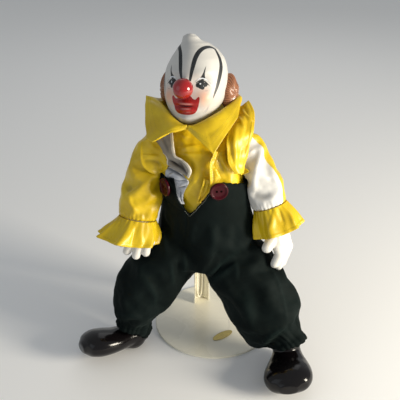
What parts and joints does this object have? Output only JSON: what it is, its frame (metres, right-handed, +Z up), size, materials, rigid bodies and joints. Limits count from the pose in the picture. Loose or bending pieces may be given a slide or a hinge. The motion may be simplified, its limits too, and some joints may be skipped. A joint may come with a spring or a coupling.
{
  "type": "clown doll on stand",
  "caption": "Clown doll with porcelain head, hands and shoes in a satin blouse and velvet overalls, posed astride and held by a metal doll stand with a waist clamp.",
  "frame": {"origin": "centre of the stand base's underside, on the surface that the stand and the shoes rest on", "axes": "+Z up, -Y towards the viewer in front of the doll, +X towards the doll's left arm"},
  "size_m": [0.23, 0.1917, 0.3186],
  "materials": {
    "cream_enamel": "glossy cream-white enamel",
    "gold_foil": "plain dull gold foil",
    "porcelain": "white glazed porcelain with painted features",
    "black_glaze": "high-gloss black glaze",
    "button_red": "polished burgundy",
    "green_velvet": "very dark green velvet",
    "yellow_satin": "yellow polyester satin",
    "white_satin": "white polyester satin"
  },
  "bodies": {
    "root": {"stand_base": "cream_enamel", "stand_post": "cream_enamel", "stand_rivet": "cream_enamel", "stand_wire": "cream_enamel", "gold_label": "gold_foil", "head": "porcelain", "right_hand": "porcelain", "left_hand": "porcelain", "right_shoe": "black_glaze", "left_shoe": "black_glaze", "overalls": "green_velvet", "right_button": "button_red", "left_button": "button_red", "blouse": "yellow_satin", "right_sleeve": "yellow_satin", "left_sleeve": "white_satin", "right_cuff": "yellow_satin", "left_cuff": "yellow_satin", "collar": "yellow_satin", "right_front_frill": "white_satin", "left_front_frill": "yellow_satin", "right_shoulder_frill": "yellow_satin", "left_shoulder_frill": "yellow_satin"}
  },
  "joints": []
}
